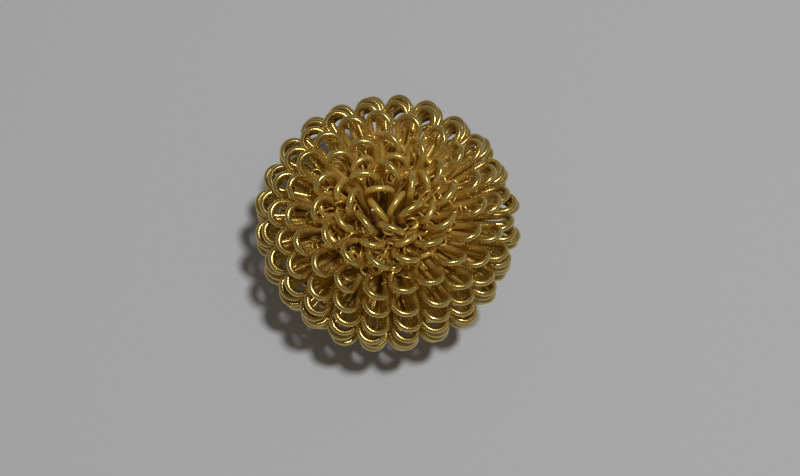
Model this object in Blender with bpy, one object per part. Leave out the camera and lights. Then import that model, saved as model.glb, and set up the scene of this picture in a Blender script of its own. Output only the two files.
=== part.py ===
"""Tip cleaning brass: a flattened ball of brass wire for wiping a soldering iron tip.

The ball is a stack of wire rings. Each ring is one length of wire bent to and fro into a rosette of
long narrow loops. The round loop ends make the outside of the ball, and the straight legs run in to a
crowded core, where a short bend joins each loop to the next. Four rings of shorter loops lie inside, two
under the crown and two above the floor. A thin tie wire stands in the middle.

Metres, +Z up. The ball rests on z = 0 with its middle over the origin.
"""

import math

import bpy
from mathutils import Vector

# Driving dimensions, in metres and degrees
WIRE_RADIUS = 0.00060
BALL_RADIUS = 0.0240
BALL_HALF_HEIGHT = 0.0179
BALL_CENTRE_Z = 0.0174
CROWN_LEAN = Vector((-0.0007, -0.0014, 0.0))  # the crown's loops have settled a little to one side
LEAN_HEIGHT = 0.0160

LOOP_HALF_WIDTH = 0.00218  # from the middle of a loop to the middle of its wire
LEG_PITCH = 0.00140  # between neighbouring legs at the core
RIM_LOOPS = 24  # the most loops in one ring

RINGS = 14  # counted from the crown down
EQUATOR = 7
EQUATOR_POLAR = 89.0
POLAR_STEP = 7.1
POLAR_GROWTH = 0.9  # rings lie further apart towards the poles
CORE_STEP = 0.00140  # between the rings of the middle band where they meet the core
SHOULDER_HEIGHTS = {4: 0.0048, 5: 0.0064, 6: 0.0059}  # the same, by rings away from the equator
CROWN_KNEE = 0.0035
CROWN_CORE = 0.0036
CROWN_FOOT = 0.0019  # how far the upper legs reach below the middle

CENTRE_LOOPS = 3
CENTRE_TIP_RADIUS = 0.0022
CENTRE_TIP_HEIGHT = 0.0150
CENTRE_TWIST = 14.0
RIM_TWIST = 17.0
CROWN_TWIST = 30.0

SEAM = -96.0  # azimuth where each ring begins and ends
CENTRE_SEAM = -12.0
CROWN_SEAM = -73.0
SEAM_DRIFT = 0.8

# Short rings, by the outer ring above each: loops, azimuth of the seam, and where their legs begin and
# their tips end, as shares of the neighbouring rings' legs
FILLS = {
    1: (8, -106.0, 0.42, 0.86),
    2: (11, -116.0, 0.20, 0.62),
    11: (11, -108.0, 0.20, 0.62),
    12: (8, -110.0, 0.42, 0.86),
}
FILL_HALF_WIDTH = 0.00180

ANGLE_PLAY = 0.07  # how unevenly the loops lie, as a share of their pitch
REACH_PLAY = 0.00035
HEIGHT_PLAY = 0.00020
TWIST_PLAY = 5.0

ARC_POINTS = 4  # corners in one round loop end
SIDES = 6  # of the wire's section

FOOT_TIP_DROP = 0.00052  # brings the lowest loops onto the floor
FLOOR_CUT = 0.004

TIE_RADIUS = 0.00022
TIE_OFFSET = 0.00245
TIE_AZIMUTH = 228.0
TIE_TOP = 0.0130
TIE_BOTTOM = 0.0035
TIE_FOOT = 0.0024
TIE_BEND = 0.0007

BRASS = (0.80, 0.60, 0.25, 1.0)


def play(*key):
    """A repeatable number from -1 to 1 for each key."""
    mix = sum((i + 1.7) * 12.9898 * k + 78.233 * i for i, k in enumerate(key, 1))
    wave = math.sin(mix) * 43758.5453
    return 2.0 * (wave - math.floor(wave)) - 1.0


def cleared():
    for obj in list(bpy.data.objects):
        bpy.data.objects.remove(obj)


def collection(name):
    made = bpy.data.collections.new(name)
    bpy.context.scene.collection.children.link(made)
    return made


def brass(name, tint):
    mat = bpy.data.materials.new(name)
    mat.use_nodes = True
    shader = mat.node_tree.nodes["Principled BSDF"]
    shader.inputs["Base Color"].default_value = [c * tint for c in BRASS[:3]] + [1.0]
    shader.inputs["Metallic"].default_value = 1.0
    shader.inputs["Roughness"].default_value = 0.32
    return mat


class Ring:
    """Where one ring of loops lies: its tip, knee and foot as (radius, height), and how it twists."""

    def __init__(self, key, loops, tip, foot):
        self.key = key
        self.loops = loops
        self.tip = tip
        self.foot = foot
        self.knee = foot
        self.twist = 0.0
        self.seam = SEAM
        self.half_width = LOOP_HALF_WIDTH
        self.level = False
        self.spaced = False

    def leg_at(self, share):
        return [k + (t - k) * share for k, t in zip(self.knee, self.tip)]


def centre_ring():
    """The few loops that stand up in the middle of the crown."""
    core = CENTRE_LOOPS * LEG_PITCH / math.pi
    tip = (CENTRE_TIP_RADIUS, BALL_CENTRE_Z + CENTRE_TIP_HEIGHT)
    made = Ring(0, CENTRE_LOOPS, tip, (core, BALL_CENTRE_Z - CROWN_FOOT))
    made.twist = CENTRE_TWIST
    made.seam = CENTRE_SEAM
    return made


def outer_ring(index):
    """A ring whose loop ends make the outside of the ball. They count from 1 at the crown."""
    above = EQUATOR - index
    far = abs(above)
    spread = POLAR_STEP * far + POLAR_GROWTH * far * far
    polar = math.radians(EQUATOR_POLAR - math.copysign(spread, above))
    loops = min(RIM_LOOPS, round(1.05 * RIM_LOOPS * math.sin(polar) ** 0.92))
    tip = [BALL_RADIUS * math.sin(polar), BALL_CENTRE_Z + BALL_HALF_HEIGHT * math.cos(polar)]
    if index == RINGS - 1:
        tip[1] -= FOOT_TIP_DROP
    height = SHOULDER_HEIGHTS.get(far, CORE_STEP * far)
    core = loops * LEG_PITCH / math.pi
    if index == 1:
        height, core = CROWN_KNEE, CROWN_CORE
    made = Ring(index, loops, tip, (core, BALL_CENTRE_Z + math.copysign(height, above)))
    if above > 3:
        made.foot = (core, BALL_CENTRE_Z - CROWN_FOOT)
    made.level = index == RINGS - 1
    made.twist = RIM_TWIST + (CROWN_TWIST - RIM_TWIST) * min(1.0, far / 6) ** 1.5
    made.seam = CROWN_SEAM if index == 1 else SEAM - SEAM_DRIFT * play(index, 9)
    return made


def short_ring(index):
    """A ring of shorter loops that lie flat in the gap between an outer ring and the next one down."""
    loops, seam, start, end = FILLS[index]
    upper, lower = outer_ring(index), outer_ring(index + 1)
    foot, tip = [
        [(a + b) / 2 for a, b in zip(upper.leg_at(share), lower.leg_at(share))]
        for share in (start, end)
    ]
    made = Ring(RINGS + index, loops, tip, foot)
    made.half_width = FILL_HALF_WIDTH
    made.seam = seam
    made.level = True
    made.spaced = True
    return made


def at(angle, radius, height):
    return Vector((math.cos(angle) * radius, math.sin(angle) * radius, height))


def leaned(point):
    """Moves a point aside with the crown, more so the higher it is."""
    share = max(0.0, min(1.0, (point.z - BALL_CENTRE_Z) / LEAN_HEIGHT))
    return point + CROWN_LEAN * share * share


def loop_points(ring, number):
    """One loop: up the first leg from the core, round the outer end, and back down the second leg."""
    pitch = 2.0 * math.pi / ring.loops
    angle = math.radians(ring.seam) + pitch * number
    tangent = Vector((-math.sin(angle), math.cos(angle), 0.0))
    foot = at(angle, *ring.foot)
    knee = at(angle, *ring.knee)
    reach = ring.tip[0] + REACH_PLAY * play(ring.key, number, 2)
    lift = 0.0 if ring.level else HEIGHT_PLAY * play(ring.key, number, 3)
    swing = ANGLE_PLAY * pitch * play(ring.key, number, 1)
    tip = at(angle + swing, reach, ring.tip[1] + lift)

    out = (tip - knee).normalized()
    across = (tangent - out * tangent.dot(out)).normalized()
    over = out.cross(across)
    twist = math.radians(ring.twist + TWIST_PLAY * play(ring.key, number, 4))
    wide = across * math.cos(twist) - over * math.sin(twist)
    middle = tip - out * (WIRE_RADIUS + ring.half_width)
    lean = math.atan2(ring.half_width - LEG_PITCH / 2, (middle - knee).length)

    half = tangent * LEG_PITCH / 2
    legs = [foot - half, knee - half] if ring.knee != ring.foot else [foot - half]
    turn = (math.pi + 2.0 * lean) / ARC_POINTS
    corner = 0.99 * ring.half_width / math.cos(turn / 2)
    arc = []
    for i in range(ARC_POINTS):
        along = turn * (i + 0.5) - lean
        arc.append(middle - wide * corner * math.cos(along) + out * corner * math.sin(along))
    points = legs + arc + [p + half * 2 for p in reversed(legs)]
    if ring.spaced and number < ring.loops - 1:
        points.append(at(angle + pitch / 2, *ring.foot))
    return [leaned(p) for p in points]


def wire(name, points, radius, sides, mat, home):
    """A straight-sided wire through points, with closed ends."""
    curve = bpy.data.curves.new(name, "CURVE")
    curve.dimensions = "3D"
    curve.bevel_depth = radius
    curve.bevel_resolution = (sides - 4) // 2
    curve.use_fill_caps = True
    curve.materials.append(mat)
    spline = curve.splines.new("POLY")
    spline.points.add(len(points) - 1)
    for point, place in zip(spline.points, points):
        point.co = (*place, 1.0)
    obj = bpy.data.objects.new(name, curve)
    home.objects.link(obj)
    return obj


def as_mesh(line, home):
    """The same wire as a mesh object, which a Boolean can cut."""
    graph = bpy.context.evaluated_depsgraph_get()
    name = line.name
    mesh = bpy.data.meshes.new_from_object(line.evaluated_get(graph))
    bpy.data.objects.remove(line)
    mesh.name = name
    obj = bpy.data.objects.new(name, mesh)
    home.objects.link(obj)
    caps = obj.modifiers.new("caps", "WELD")
    caps.merge_threshold = 1e-6
    return obj


def ring_strand(name, ring, home):
    points = []
    for number in range(ring.loops):
        points += loop_points(ring, number)
    mat = brass(name.replace("coil", "brass"), 1.0 + 0.04 * play(ring.key, 5))
    return wire(name, points, WIRE_RADIUS, SIDES, mat, home)


def floor_cut(strand, home):
    """Wears a small flat on each of the lowest loops where they stand on z = 0."""
    bpy.ops.mesh.primitive_cube_add(size=1.0, location=(0.0, 0.0, -FLOOR_CUT / 2))
    block = bpy.context.object
    block.name = "floor_block"
    block.scale = (2 * BALL_RADIUS, 2 * BALL_RADIUS, FLOOR_CUT)
    for other in list(block.users_collection):
        other.objects.unlink(block)
    home.objects.link(block)
    block.hide_render = True
    block.display_type = "WIRE"
    cut = strand.modifiers.new("floor", "BOOLEAN")
    cut.operation = "DIFFERENCE"
    cut.solver = "EXACT"
    cut.object = block


def tie_wire(home):
    """A thin wire straight down beside the axis, with a short foot turned in under the core's middle."""
    top = BALL_CENTRE_Z + TIE_TOP
    low = BALL_CENTRE_Z - TIE_BOTTOM
    path = [(TIE_OFFSET, top), (TIE_OFFSET, BALL_CENTRE_Z), (TIE_OFFSET, low + TIE_BEND)]
    for step in (1, 2, 3):
        turn = math.radians(90 * step / 3)
        radius = TIE_OFFSET - TIE_BEND * (1.0 - math.cos(turn))
        path.append((radius, low + TIE_BEND * (1.0 - math.sin(turn))))
    path.append((TIE_OFFSET - TIE_BEND - TIE_FOOT, low))
    angle = math.radians(TIE_AZIMUTH)
    points = [leaned(at(angle, radius, height)) for radius, height in path]
    return wire("tie_wire", points, TIE_RADIUS, 8, brass("brass_tie", 1.05), home)


cleared()
body = collection("tip_cleaning_brass")
cutters = collection("cutters")
ring_strand("coil_strand_01", centre_ring(), body)
for ring_number in range(1, RINGS):
    lowest = ring_strand(f"coil_strand_{ring_number + 1:02d}", outer_ring(ring_number), body)
floor_cut(as_mesh(lowest, body), cutters)
for count, ring_above in enumerate(FILLS, 1):
    ring_strand(f"inner_coil_strand_{count:02d}", short_ring(ring_above), body)
tie_wire(body)
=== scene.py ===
"""Looks of the tip cleaning brass: a flattened ball of ribbed brass wire, bent into rings of loops.

Each ring of loops in the CAD model is a plain, straight-sided wire. Here it is drawn again, on the same
centreline but for some extra twist, as a round wire with true round ends, rolled cross ribs and a worn
brass surface, with painted shade, partly dirt, in the rib grooves, and painted bounce light and shade
deep inside the ball. Short bends are added deep between the loops' legs, where the wire turns back on
itself.
"""

import math

import bpy
import numpy as np
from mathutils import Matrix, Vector


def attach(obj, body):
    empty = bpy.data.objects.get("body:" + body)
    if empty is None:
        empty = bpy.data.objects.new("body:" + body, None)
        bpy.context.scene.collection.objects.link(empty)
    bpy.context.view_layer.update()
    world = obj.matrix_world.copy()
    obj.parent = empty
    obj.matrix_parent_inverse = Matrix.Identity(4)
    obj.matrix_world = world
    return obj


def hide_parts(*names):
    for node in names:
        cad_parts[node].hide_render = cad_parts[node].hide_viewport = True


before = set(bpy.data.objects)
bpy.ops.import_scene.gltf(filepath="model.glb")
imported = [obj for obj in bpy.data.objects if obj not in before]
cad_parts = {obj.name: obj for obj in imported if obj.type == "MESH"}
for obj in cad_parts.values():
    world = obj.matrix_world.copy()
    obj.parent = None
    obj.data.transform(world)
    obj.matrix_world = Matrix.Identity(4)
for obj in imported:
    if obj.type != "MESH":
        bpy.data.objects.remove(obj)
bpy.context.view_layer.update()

MAP_NAME = "OFBake"

# The ball's driving dimensions, in metres and degrees, as in the CAD model
WIRE_RADIUS = 0.00060
BALL_RADIUS = 0.0240
BALL_HALF_HEIGHT = 0.0179
BALL_CENTRE_Z = 0.0174
CROWN_LEAN = Vector((-0.0007, -0.0014, 0.0))
LEAN_HEIGHT = 0.0160
LOOP_HALF_WIDTH = 0.00218
LEG_PITCH = 0.00140
RIM_LOOPS = 24
RINGS = 14
EQUATOR = 7
EQUATOR_POLAR = 89.0
POLAR_STEP = 7.1
POLAR_GROWTH = 0.9
CORE_STEP = 0.00140
SHOULDER_HEIGHTS = {4: 0.0048, 5: 0.0064, 6: 0.0059}
CROWN_KNEE = 0.0035
CROWN_CORE = 0.0036
CROWN_FOOT = 0.0019
CENTRE_LOOPS = 3
CENTRE_TIP_RADIUS = 0.0022
CENTRE_TIP_HEIGHT = 0.0150
CENTRE_TWIST = 14.0
RIM_TWIST = 17.0
CROWN_TWIST = 30.0
SEAM = -96.0
CENTRE_SEAM = -12.0
CROWN_SEAM = -73.0
SEAM_DRIFT = 0.8
FILLS = {
    1: (8, -106.0, 0.42, 0.86),
    2: (11, -116.0, 0.20, 0.62),
    11: (11, -108.0, 0.20, 0.62),
    12: (8, -110.0, 0.42, 0.86),
}
FILL_HALF_WIDTH = 0.00180
ANGLE_PLAY = 0.07
REACH_PLAY = 0.00035
HEIGHT_PLAY = 0.00020
TWIST_PLAY = 5.0
FOOT_TIP_DROP = 0.00052
TIE_RADIUS = 0.00022
TIE_OFFSET = 0.00245
TIE_AZIMUTH = 228.0
TIE_TOP = 0.0130
TIE_BOTTOM = 0.0035
TIE_FOOT = 0.0024
TIE_BEND = 0.0007
TIE_STEPS = 8  # down the straight, and round the bend
TIE_END = 0.7  # the rounded ends, as a share of its radius

# What the drawn wire adds
RIB_PITCH = 0.00042  # between neighbouring cross ribs
RIB_STEPS = 3  # rings of points in each rib
RIB_DEPTH = 0.075  # as a share of the wire's radius
RIB_WAVES = (2900.0, 1130.0)  # radians in a metre, over which the ribs grow deeper and shallower
SIDES = 14
FACE_TURN = 48.0  # where the rolled face lies: 0 is the loop's upper side, 90 its inside
FACE_HALF_SPAN = 38.0
FACE_DEPTH = 0.05
ARC_STEPS = 20  # in a loop's round end
TURN_STEPS = 6  # in an inner bend
BEND_SOFTNESS = 0.0005  # rounds the knees
FLOOR_GAP = 0.00001
SIDE_TWIST = 12.0  # how much more the loops twist on one side
SIDE_AZIMUTH = 5.0
CROWN_TWIST_PLAY = 9.0
CROWN_RINGS = 3  # those that lie least evenly
TIE_RISE = 0.0028  # how much higher the tie ends
TIE_SPREAD = 0.0004  # how far it leans out there

# The short bends deep between the legs. Each zone has a number of bends, the lowest and highest rise of
# their directions (the sine of the slope), how far out they lie as a share of the ball's radius, how
# much their directions stray, and the wire's radius.
BEND_ZONES = {
    "upper": (240, 0.58, 0.945, 0.69, 0.40, 0.00020),
    "middle": (190, -0.60, 0.20, 0.62, 0.20, 0.00050),
    "lower": (150, -0.97, -0.30, 0.78, 0.12, 0.00045),
}
BEND_SIDES = 8
BEND_STEP = 0.00022
BEND_ARC_STEPS = 8
BEND_HALF_WIDTH = 0.00085
BEND_LEG = 0.0042
BEND_LEG_PLAY = 0.3
BEND_SHARE_PLAY = 0.10
GOLDEN_ANGLE = math.pi * (3.0 - math.sqrt(5.0))

LAMP_PLACE = (0.150, -0.030, 0.80)
LAMP_SIZE = 0.08
LAMP_WATTS = 3.4
LAMP_COLOUR = (0.97, 0.985, 1.01)
FLOOR_SIZE = 4.0

CAMERA_ELEVATION = 70.0
CAMERA_DISTANCE = 0.32
VIEW_WIDTH = 0.1449  # what the frame spans at the ball
CAMERA_SHIFT = (0.016, -0.020)


def play(*key):
    """A repeatable number from -1 to 1 for each key."""
    mix = sum((i + 1.7) * 12.9898 * k + 78.233 * i for i, k in enumerate(key, 1))
    wave = math.sin(mix) * 43758.5453
    return 2.0 * (wave - math.floor(wave)) - 1.0


# ---- The centreline of each ring ------------------------------------------------------------------


class Ring:
    """Where one ring of loops lies: its tip, knee and foot as (radius, height), and how it twists."""

    def __init__(self, key, loops, tip, foot):
        self.key = key
        self.loops = loops
        self.tip = tip
        self.foot = foot
        self.knee = foot
        self.twist = 0.0
        self.seam = SEAM
        self.half_width = LOOP_HALF_WIDTH
        self.level = False
        self.spaced = False

    def leg_at(self, share):
        return [k + (t - k) * share for k, t in zip(self.knee, self.tip)]


def centre_ring():
    """The few loops that stand up in the middle of the crown."""
    core = CENTRE_LOOPS * LEG_PITCH / math.pi
    tip = (CENTRE_TIP_RADIUS, BALL_CENTRE_Z + CENTRE_TIP_HEIGHT)
    made = Ring(0, CENTRE_LOOPS, tip, (core, BALL_CENTRE_Z - CROWN_FOOT))
    made.twist = CENTRE_TWIST
    made.seam = CENTRE_SEAM
    return made


def outer_ring(index):
    """A ring whose loop ends make the outside of the ball. They count from 1 at the crown."""
    above = EQUATOR - index
    far = abs(above)
    spread = POLAR_STEP * far + POLAR_GROWTH * far * far
    polar = math.radians(EQUATOR_POLAR - math.copysign(spread, above))
    loops = min(RIM_LOOPS, round(1.05 * RIM_LOOPS * math.sin(polar) ** 0.92))
    tip = [BALL_RADIUS * math.sin(polar), BALL_CENTRE_Z + BALL_HALF_HEIGHT * math.cos(polar)]
    if index == RINGS - 1:
        tip[1] -= FOOT_TIP_DROP
    height = SHOULDER_HEIGHTS.get(far, CORE_STEP * far)
    core = loops * LEG_PITCH / math.pi
    if index == 1:
        height, core = CROWN_KNEE, CROWN_CORE
    made = Ring(index, loops, tip, (core, BALL_CENTRE_Z + math.copysign(height, above)))
    if above > 3:
        made.foot = (core, BALL_CENTRE_Z - CROWN_FOOT)
    made.level = index == RINGS - 1
    made.twist = RIM_TWIST + (CROWN_TWIST - RIM_TWIST) * min(1.0, far / 6) ** 1.5
    made.seam = CROWN_SEAM if index == 1 else SEAM - SEAM_DRIFT * play(index, 9)
    return made


def short_ring(index):
    """A ring of shorter loops that lie flat in the gap between an outer ring and the next one down."""
    loops, seam, start, end = FILLS[index]
    upper, lower = outer_ring(index), outer_ring(index + 1)
    foot, tip = [
        [(a + b) / 2 for a, b in zip(upper.leg_at(share), lower.leg_at(share))]
        for share in (start, end)
    ]
    made = Ring(RINGS + index, loops, tip, foot)
    made.half_width = FILL_HALF_WIDTH
    made.seam = seam
    made.level = True
    made.spaced = True
    return made


def at(angle, radius, height):
    return Vector((math.cos(angle) * radius, math.sin(angle) * radius, height))


def leaned(point):
    """Moves a point aside with the crown, more so the higher it is."""
    share = max(0.0, min(1.0, (point.z - BALL_CENTRE_Z) / LEAN_HEIGHT))
    return point + CROWN_LEAN * share * share


def loop_path(ring, number):
    """One loop: up the first leg from the core, round the outer end, and back down the second leg. The
    last three numbers of each row are the direction square to the loop's flat side."""
    pitch = 2.0 * math.pi / ring.loops
    angle = math.radians(ring.seam) + pitch * number
    tangent = Vector((-math.sin(angle), math.cos(angle), 0.0))
    foot = at(angle, *ring.foot)
    knee = at(angle, *ring.knee)
    reach = ring.tip[0] + REACH_PLAY * play(ring.key, number, 2)
    lift = 0.0 if ring.level else HEIGHT_PLAY * play(ring.key, number, 3)
    swing = ANGLE_PLAY * pitch * play(ring.key, number, 1)
    tip = at(angle + swing, reach, ring.tip[1] + lift)

    out = (tip - knee).normalized()
    across = (tangent - out * tangent.dot(out)).normalized()
    over = out.cross(across)
    turned = ring.twist + TWIST_PLAY * play(ring.key, number, 4)
    turned += SIDE_TWIST * max(0.0, math.cos(angle - math.radians(SIDE_AZIMUTH))) ** 2
    if 0 < ring.key <= CROWN_RINGS:
        turned += CROWN_TWIST_PLAY * play(ring.key, number, 6)
    twist = math.radians(turned)
    wide = across * math.cos(twist) - over * math.sin(twist)
    middle = tip - out * (WIRE_RADIUS + ring.half_width)
    lean = math.atan2(ring.half_width - LEG_PITCH / 2, (middle - knee).length)

    half = tangent * LEG_PITCH / 2
    kneed = ring.knee != ring.foot
    rise = knee - foot if kneed else out
    if not ring.spaced:
        foot += rise.normalized() * LEG_PITCH / 2
    legs = [foot - half, knee - half] if kneed else [foot - half]
    arc = []
    for i in range(ARC_STEPS + 1):
        along = (math.pi + 2.0 * lean) * i / ARC_STEPS - lean
        side = wide * ring.half_width * math.cos(along)
        arc.append(middle - side + out * ring.half_width * math.sin(along))
    points = legs + arc + [p + half * 2 for p in reversed(legs)]
    if ring.spaced and number < ring.loops - 1:
        points.append(at(angle + pitch / 2, *ring.foot))
    face = out.cross(wide)
    return [(*leaned(p), *face) for p in points]


def inner_turn(before, after):
    """The half round that joins one loop's last leg to the next loop's first leg."""
    ends = [Vector(row[:3]) for row in (before[-2], before[-1], after[0], after[1])]
    start, end = ends[1], ends[2]
    middle = (start + end) / 2
    side = (end - start) / 2
    inward = (start - ends[0]).normalized() + (end - ends[3]).normalized()
    inward = (inward - side * (inward.dot(side) / side.dot(side))).normalized() * side.length
    face = (Vector(before[-1][3:]) + Vector(after[0][3:])).normalized()
    turns = [math.pi * i / TURN_STEPS for i in range(1, TURN_STEPS)]
    return [(*(middle - side * math.cos(t) + inward * math.sin(t)), *face) for t in turns]


def ring_path(ring):
    loops = [loop_path(ring, number) for number in range(ring.loops)]
    rows = list(loops[0])
    for before, after in zip(loops, loops[1:]):
        if not ring.spaced:
            rows += inner_turn(before, after)
        rows += after
    return np.array(rows)


def tie_path():
    """A thin wire straight down beside the axis, with a short foot turned in under the core's middle."""
    top = BALL_CENTRE_Z + TIE_TOP + TIE_RISE
    low = BALL_CENTRE_Z - TIE_BOTTOM
    path = []
    for i in range(TIE_STEPS + 1):
        share = i / TIE_STEPS
        radius = TIE_OFFSET + TIE_SPREAD * (1.0 - share)
        path.append((radius, top + (BALL_CENTRE_Z - top) * share))
    for i in range(TIE_STEPS + 1):
        turn = math.radians(90 * i / TIE_STEPS)
        radius = TIE_OFFSET - TIE_BEND * (1.0 - math.cos(turn))
        path.append((radius, low + TIE_BEND * (1.0 - math.sin(turn))))
    path.append((TIE_OFFSET - TIE_BEND - TIE_FOOT, low))
    angle = math.radians(TIE_AZIMUTH)
    side = (-math.sin(angle), math.cos(angle), 0.0)
    return np.array([(*leaned(at(angle, *place)), *side) for place in path])


# ---- From a centreline to a wire ------------------------------------------------------------------


def even(rows, step):
    """The same path with a row every step metres."""
    gaps = np.linalg.norm(np.diff(rows[:, :3], axis=0), axis=1)
    run = np.concatenate([[0.0], np.cumsum(gaps)])
    stops = np.linspace(0.0, run[-1], int(run[-1] / step) + 1)
    return np.stack([np.interp(stops, run, column) for column in rows.T], axis=1)


def softened(rows, step, reach):
    """Rounds the path's corners by averaging over about reach metres, and keeps its two ends."""
    made = rows.copy()
    for _ in range(round(2.0 * (reach / step) ** 2)):
        made[1:-1] = (made[:-2] + 2.0 * made[1:-1] + made[2:]) / 4.0
    return made


def unit(vectors):
    return vectors / np.linalg.norm(vectors, axis=1)[:, None]


class Tube:
    """A closed tube along rows. The outline holds the section's radius, as a share of radii, from the
    loop's flat side round towards its inside. Each point keeps its distance and rib height."""

    def __init__(self, rows, radii, outline, along, crest):
        points = rows[:, :3]
        count, sides = len(points), len(outline)
        self.columns = count - 1
        tangents = unit(np.gradient(points, axis=0))
        inside = unit(np.cross(rows[:, 3:], tangents))
        flat = np.cross(tangents, inside)
        around = 2.0 * np.pi * np.arange(sides) / sides
        cos, sin = outline * np.cos(around), outline * np.sin(around)
        ring = flat[:, None] * cos[:, None] + inside[:, None] * sin[:, None]
        places = points[:, None] + ring * radii[:, None, None]
        self.places = np.concatenate([places.reshape(-1, 3), points[[0, -1]]])
        self.places[:, 2] = np.maximum(self.places[:, 2], FLOOR_GAP)

        i, j = np.meshgrid(np.arange(count - 1), np.arange(sides), indexing="ij")
        k = (j + 1) % sides
        quads = [i * sides + j, i * sides + k, (i + 1) * sides + k, (i + 1) * sides + j]
        self.quads = np.stack(quads, -1).reshape(-1, 4)
        j, k = j[0], k[0]
        last = (count - 1) * sides
        head = np.stack([np.full(sides, count * sides), k, j], -1)
        tail = np.stack([np.full(sides, count * sides + 1), last + j, last + k], -1)
        self.caps = np.concatenate([head, tail])

        self.drawn = np.zeros((len(self.places), 3))
        self.drawn[:-2, 0] = np.tile(np.cos(around), count) * WIRE_RADIUS
        self.drawn[:-2, 1] = np.tile(np.sin(around), count) * WIRE_RADIUS
        self.drawn[:, 2] = np.concatenate([np.repeat(along, sides), along[[0, -1]]])
        self.crest = np.concatenate([np.repeat(crest, sides), crest[[0, -1]]])


def strip_map(tubes, sides, shape):
    """Lays the tubes' faces side by side in full rows, on a square map that a bake can use as it is.
    The shape is one face's length over the distance round the wire."""
    columns = sum(tube.columns for tube in tubes)
    lines = max(1, round(math.sqrt(columns * shape)))
    per_line = math.ceil(columns / lines)

    def at_corners(column, side, along, up):
        u = (column % per_line + along) / per_line
        v = (column // per_line + (side + up) / sides) / lines
        return np.stack([u, v], -1)

    column, side = np.meshgrid(np.arange(columns), np.arange(sides), indexing="ij")
    corners = [(0, 0), (0, 1), (1, 1), (1, 0)]
    quads = np.stack([at_corners(column, side, *corner) for corner in corners], 2)
    caps = []
    first = 0
    side = np.arange(sides)
    for tube in tubes:
        for end, edge, ups in ((first, 0, (0.5, 1, 0)), (first + tube.columns - 1, 1, (0.5, 0, 1))):
            caps.append(np.stack([at_corners(np.full(sides, end), side, edge, up) for up in ups], 1))
        first += tube.columns
    return np.concatenate([quads.reshape(-1, 2), np.concatenate(caps).reshape(-1, 2)])


def tube_mesh(name, tubes, sides, shape):
    starts = np.cumsum([0] + [len(tube.places) for tube in tubes[:-1]])
    quads = np.concatenate([tube.quads + start for tube, start in zip(tubes, starts)])
    caps = np.concatenate([tube.caps + start for tube, start in zip(tubes, starts)])
    places = np.concatenate([tube.places for tube in tubes])
    mesh = bpy.data.meshes.new(name)
    mesh.from_pydata(places.tolist(), [], quads.tolist() + caps.tolist())
    mesh.shade_smooth()
    drawn = np.concatenate([tube.drawn for tube in tubes])
    crest = np.concatenate([tube.crest for tube in tubes])
    mesh.attributes.new("drawn", "FLOAT_VECTOR", "POINT").data.foreach_set("vector", drawn.ravel())
    mesh.attributes.new("crest", "FLOAT", "POINT").data.foreach_set("value", crest)
    mesh.uv_layers.new(name=MAP_NAME).data.foreach_set("uv", strip_map(tubes, sides, shape).ravel())
    return mesh


def shown(mesh, material, node=None):
    obj = bpy.data.objects.new(mesh.name, mesh)
    obj.data.materials.append(material)
    bpy.context.scene.collection.objects.link(obj)
    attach(obj, "root")
    if node:
        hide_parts(node)


def rolled_outline():
    """A round section with one slightly hollow face, up and towards the loop's inside."""
    turn = 2.0 * np.pi * np.arange(SIDES) / SIDES - math.radians(FACE_TURN)
    away = np.abs((turn + np.pi) % (2.0 * np.pi) - np.pi) / math.radians(FACE_HALF_SPAN)
    return 1.0 - FACE_DEPTH * np.maximum(0.0, 1.0 - away * away)


def ribbed(rows, step, radius, outline, key):
    along = step * np.arange(len(rows))
    crest = 0.5 + 0.5 * np.cos(2.0 * np.pi * along / RIB_PITCH)
    quick, slow = RIB_WAVES
    uneven = 0.75 + 0.25 * np.sin(along * quick + key) * np.sin(along * slow)
    radii = radius * (1.0 - RIB_DEPTH * uneven * (1.0 - crest))
    return Tube(rows, radii, outline, along, crest)


def ribbed_wire(name, ring, node):
    """One ring of loops as a ribbed wire."""
    step = RIB_PITCH / RIB_STEPS
    rows = softened(even(ring_path(ring), step), step, BEND_SOFTNESS)
    tube = ribbed(rows, step, WIRE_RADIUS, rolled_outline(), ring.key)
    mesh = tube_mesh(name, [tube], SIDES, step / (2.0 * math.pi * WIRE_RADIUS))
    shown(mesh, brass(name, ring.key), node)


def bend_path(number, rise, share, tilt):
    """A short hairpin that points outwards, somewhere between the loops' legs."""
    angle = GOLDEN_ANGLE * number
    flat = math.sqrt(1.0 - rise * rise)
    radial = Vector((flat * math.cos(angle), flat * math.sin(angle), rise))
    share += BEND_SHARE_PLAY * play(number, 31)
    size = Vector((BALL_RADIUS, BALL_RADIUS, BALL_HALF_HEIGHT))
    middle = leaned(radial * size * share + Vector((0.0, 0.0, BALL_CENTRE_Z)))
    out = (radial + tilt * Vector([play(number, k) for k in (32, 33, 34)])).normalized()
    side = out.orthogonal().normalized()
    spin = math.pi * play(number, 35)
    side = side * math.cos(spin) + out.cross(side) * math.sin(spin)
    face = out.cross(side)
    leg = BEND_LEG * (1.0 + BEND_LEG_PLAY * play(number, 36))
    rows = [middle - side * BEND_HALF_WIDTH - out * leg]
    for i in range(BEND_ARC_STEPS + 1):
        turn = math.pi * i / BEND_ARC_STEPS
        rows.append(middle + (out * math.sin(turn) - side * math.cos(turn)) * BEND_HALF_WIDTH)
    rows.append(middle + side * BEND_HALF_WIDTH - out * leg)
    return np.array([(*row, *face) for row in rows])


def inner_bends():
    """The short bends deep between the legs, where the wire turns back on itself."""
    outline = np.ones(BEND_SIDES)
    for zone, (count, low, high, share, tilt, radius) in BEND_ZONES.items():
        tubes = []
        for number in range(count):
            path = bend_path(number, low + (high - low) * (number + 0.5) / count, share, tilt)
            rows = softened(even(path, BEND_STEP), BEND_STEP, BEND_STEP)
            tubes.append(ribbed(rows, BEND_STEP, radius, outline, number))
        name = f"inner_bends_{zone}"
        mesh = tube_mesh(name, tubes, BEND_SIDES, BEND_STEP / (2.0 * math.pi * radius))
        shown(mesh, brass(name, count))


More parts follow.
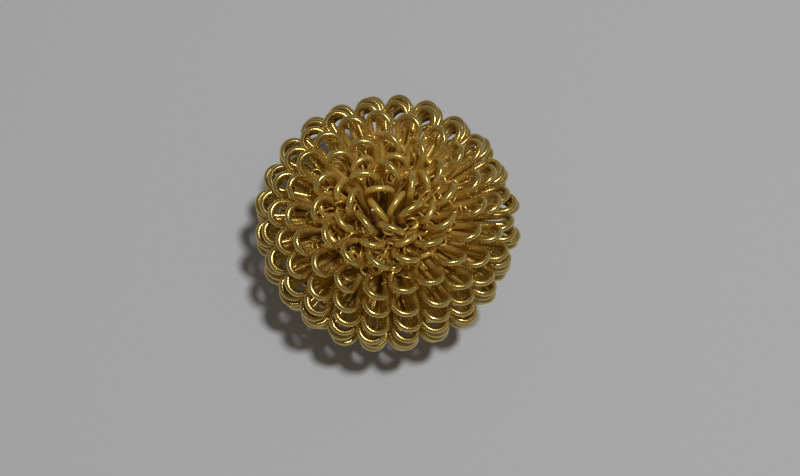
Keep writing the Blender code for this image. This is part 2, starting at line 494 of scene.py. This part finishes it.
def smooth_tie():
    step = TIE_RADIUS
    rows = softened(even(tie_path(), step), step, TIE_RADIUS)
    along = step * np.arange(len(rows))
    radii = np.full(len(rows), TIE_RADIUS)
    radii[[0, -1]] *= TIE_END
    tube = Tube(rows, radii, np.ones(SIDES), along, np.ones(len(rows)))
    mesh = tube_mesh("pale_tie_wire", [tube], SIDES, step / (2.0 * math.pi * TIE_RADIUS))
    shown(mesh, pale_brass(), "tie_wire")


# ---- Materials ------------------------------------------------------------------------------------


class Nodes:
    """Short ways to add and join a material's nodes."""

    def __init__(self, tree):
        self.tree = tree

    def add(self, kind, inputs=None, **settings):
        node = self.tree.nodes.new(kind)
        for key, value in settings.items():
            setattr(node, key, value)
        for key, value in (inputs or {}).items():
            self.give(node.inputs[key], value)
        return node

    def give(self, socket, value):
        if isinstance(value, bpy.types.NodeSocket):
            self.tree.links.new(value, socket)
        else:
            socket.default_value = value

    def noise(self, vector, scale, detail=3.0, roughness=0.55):
        inputs = {"Vector": vector, "Scale": scale, "Detail": detail, "Roughness": roughness}
        return self.add("ShaderNodeTexNoise", inputs).outputs["Fac"]

    def spread(self, value, low, high, to_low=0.0, to_high=1.0):
        inputs = {0: value, 1: low, 2: high, 3: to_low, 4: to_high}
        return self.add("ShaderNodeMapRange", inputs, interpolation_type="SMOOTHSTEP").outputs[0]

    def math(self, operation, a, b):
        return self.add("ShaderNodeMath", {0: a, 1: b}, operation=operation).outputs[0]

    def mix(self, share, a, b, blend="MIX"):
        node = self.add("ShaderNodeMix", {0: share, 6: a, 7: b}, data_type="RGBA", blend_type=blend)
        return node.outputs[2]


def new_material(name):
    mat = bpy.data.materials.new(name)
    mat.use_nodes = True
    return mat, Nodes(mat.node_tree), mat.node_tree.nodes["Principled BSDF"]


def brass(name, index):
    """Rolled brass wire: pale on the worn ribs, with olive tarnish in patches, and browner in the
    grooves: painted shade, partly dirt. Deep inside the ball it is a lighter, deeper yellow and less
    metallic, painted bounce light, and redder and darker low down there, painted shade."""
    mat, make, shader = new_material(name)
    place = make.add("ShaderNodeTexCoord").outputs["Object"]
    drawn = make.add("ShaderNodeAttribute", attribute_name="drawn").outputs["Vector"]
    crest = make.add("ShaderNodeAttribute", attribute_name="crest").outputs["Fac"]
    streak = make.add("ShaderNodeMapping", {"Vector": drawn, "Scale": (1.0, 1.0, 0.06)}).outputs[0]

    warm = 1.0 + 0.05 * play(index, 21)
    bright = (0.70 * warm, 0.51 * warm, 0.13, 1.0)
    tarnished = (0.58, 0.44, 0.09, 1.0)
    worn_crest = (0.88, 0.77, 0.50, 1.0)
    # painted bounce light: a lighter, warmer yellow for the wires deep inside the ball
    inner = (0.95, 0.67, 0.15, 1.0)
    # painted shade: redder and darker for the wires low down inside the ball
    painted_shade_low_inside = (0.74, 0.40, 0.06, 1.0)
    # painted shade, partly dirt: the browner colour that the rib grooves turn
    furrow_grime_and_shade = (0.73, 0.42, 0.07, 1.0)
    patches = make.spread(make.noise(place, 160.0), 0.45, 0.68)
    colour = make.mix(patches, bright, tarnished)
    centre = (0.0, 0.0, BALL_CENTRE_Z)
    away = make.add("ShaderNodeVectorMath", {0: place, 1: centre}, operation="DISTANCE").outputs["Value"]
    depth = make.spread(away, 0.92 * BALL_RADIUS, 0.45 * BALL_RADIUS)
    tops = make.math("MULTIPLY", make.spread(crest, 0.5, 1.0), 0.42)
    colour = make.mix(tops, colour, worn_crest)
    height = make.add("ShaderNodeSeparateXYZ", {0: place}).outputs[2]
    lowness = make.spread(height, 1.35 * BALL_CENTRE_Z, 0.55 * BALL_CENTRE_Z)
    # Deep inside the ball the colour turns to painted bounce light, and low down there to painted shade
    colour = make.mix(depth, colour, make.mix(lowness, inner, painted_shade_low_inside))
    grains = make.spread(make.noise(drawn, 2600.0, 2.0), 0.5, 0.75, 0.0, 0.35)
    colour = make.mix(grains, colour, tarnished)
    # The rib grooves darken in patches: painted shade, partly dirt. The same share also makes them
    # rougher.
    furrow_patchiness = make.spread(patches, 0.0, 1.0, 0.30, 0.65)
    furrow_grime_and_shade_share = make.math("MULTIPLY", make.spread(crest, 0.75, 0.0), furrow_patchiness)
    colour = make.mix(furrow_grime_and_shade_share, colour, furrow_grime_and_shade)
    make.give(shader.inputs["Base Color"], colour)
    make.give(shader.inputs["Metallic"], make.spread(depth, 0.0, 1.0, 0.92, 0.50))
    shader.inputs["Anisotropic"].default_value = 0.7
    shader.inputs["Coat Weight"].default_value = 0.40
    shader.inputs["Coat Roughness"].default_value = 0.14
    along = make.add("ShaderNodeTangent", direction_type="UV_MAP", uv_map=MAP_NAME).outputs[0]
    make.give(shader.inputs["Tangent"], along)

    worn = make.spread(make.noise(place, 420.0, 4.0), 0.35, 0.7, 0.18, 0.29)
    rough = make.math("ADD", worn, make.math("MULTIPLY", furrow_grime_and_shade_share, 0.18))
    make.give(shader.inputs["Roughness"], rough)

    lines = make.noise(streak, 5200.0, 2.0)
    specks = make.noise(drawn, 6500.0, 2.0)
    relief = make.math("ADD", make.math("MULTIPLY", lines, 0.7), make.math("MULTIPLY", specks, 0.5))
    bump = make.add("ShaderNodeBump", {"Strength": 0.6, "Distance": 0.00002, "Height": relief})
    make.give(shader.inputs["Normal"], bump.outputs[0])
    return mat


def pale_brass():
    """The thin tie wire: smooth, paler and cleaner than the loops."""
    mat, make, shader = new_material("pale_brass")
    drawn = make.add("ShaderNodeAttribute", attribute_name="drawn").outputs["Vector"]
    share = make.spread(make.noise(drawn, 1500.0), 0.4, 0.7)
    colour = make.mix(share, (0.96, 0.90, 0.76, 1.0), (0.88, 0.78, 0.56, 1.0))
    make.give(shader.inputs["Base Color"], colour)
    shader.inputs["Metallic"].default_value = 0.4
    make.give(shader.inputs["Roughness"], make.spread(make.noise(drawn, 3200.0), 0.3, 0.7, 0.22, 0.36))
    bump = make.add("ShaderNodeBump", {"Strength": 0.2, "Distance": 0.00001})
    make.give(bump.inputs["Height"], make.noise(drawn, 6000.0))
    make.give(shader.inputs["Normal"], bump.outputs[0])
    return mat


def paper():
    mat, make, shader = new_material("paper")
    place = make.add("ShaderNodeTexCoord").outputs["Object"]
    share = make.noise(place, 900.0, 5.0)
    colour = make.mix(share, (0.60, 0.60, 0.605, 1.0), (0.64, 0.64, 0.645, 1.0))
    make.give(shader.inputs["Base Color"], colour)
    shader.inputs["Roughness"].default_value = 0.85
    bump = make.add("ShaderNodeBump", {"Strength": 0.15, "Distance": 0.0001, "Height": share})
    make.give(shader.inputs["Normal"], bump.outputs[0])
    return mat


# ---- The studio -----------------------------------------------------------------------------------


def floor():
    bpy.ops.mesh.primitive_grid_add(x_subdivisions=8, y_subdivisions=8, size=FLOOR_SIZE)
    obj = bpy.context.object
    obj.name = "paper_floor"
    obj.data.materials.append(paper())


def lamp():
    data = bpy.data.lights.new("key", "AREA")
    data.shape = "DISK"
    data.size = LAMP_SIZE
    data.energy = LAMP_WATTS
    data.color = LAMP_COLOUR
    obj = bpy.data.objects.new("key", data)
    obj.location = LAMP_PLACE
    aim = Vector((0.0, 0.0, BALL_CENTRE_Z)) - Vector(LAMP_PLACE)
    obj.rotation_euler = aim.to_track_quat("-Z", "Y").to_euler()
    bpy.context.scene.collection.objects.link(obj)


def surroundings():
    """Soft light from the walls, and a darker ceiling for the wires to mirror."""
    world = bpy.data.worlds.new("studio")
    bpy.context.scene.world = world
    world.use_nodes = True
    make = Nodes(world.node_tree)
    place = make.add("ShaderNodeTexCoord").outputs["Generated"]
    rise = make.add("ShaderNodeSeparateXYZ", {0: place}).outputs[2]
    share = make.spread(rise, 0.0, 0.75)
    colour = make.mix(share, (0.185, 0.175, 0.155, 1.0), (0.098, 0.092, 0.081, 1.0))
    make.give(world.node_tree.nodes["Background"].inputs["Color"], colour)


def camera():
    data = bpy.data.cameras.new("camera")
    data.lens = data.sensor_width * CAMERA_DISTANCE / VIEW_WIDTH
    data.shift_x, data.shift_y = CAMERA_SHIFT
    obj = bpy.data.objects.new("camera", data)
    slope = math.radians(CAMERA_ELEVATION)
    back = Vector((0.0, -math.cos(slope), math.sin(slope)))
    obj.location = Vector((0.0, 0.0, BALL_CENTRE_Z)) + back * CAMERA_DISTANCE
    obj.rotation_euler = (-back).to_track_quat("-Z", "Y").to_euler()
    bpy.context.scene.collection.objects.link(obj)
    bpy.context.scene.camera = obj


camera()
floor()
surroundings()
lamp()
bpy.context.scene.view_settings.view_transform = "Standard"
ribbed_wire("brass_wire_01", centre_ring(), "coil_strand_01")
for ring_number in range(1, RINGS):
    count = f"{ring_number + 1:02d}"
    ribbed_wire(f"brass_wire_{count}", outer_ring(ring_number), f"coil_strand_{count}")
for count, ring_above in enumerate(FILLS, 1):
    ribbed_wire(f"inner_brass_wire_{count:02d}", short_ring(ring_above), f"inner_coil_strand_{count:02d}")
inner_bends()
smooth_tie()
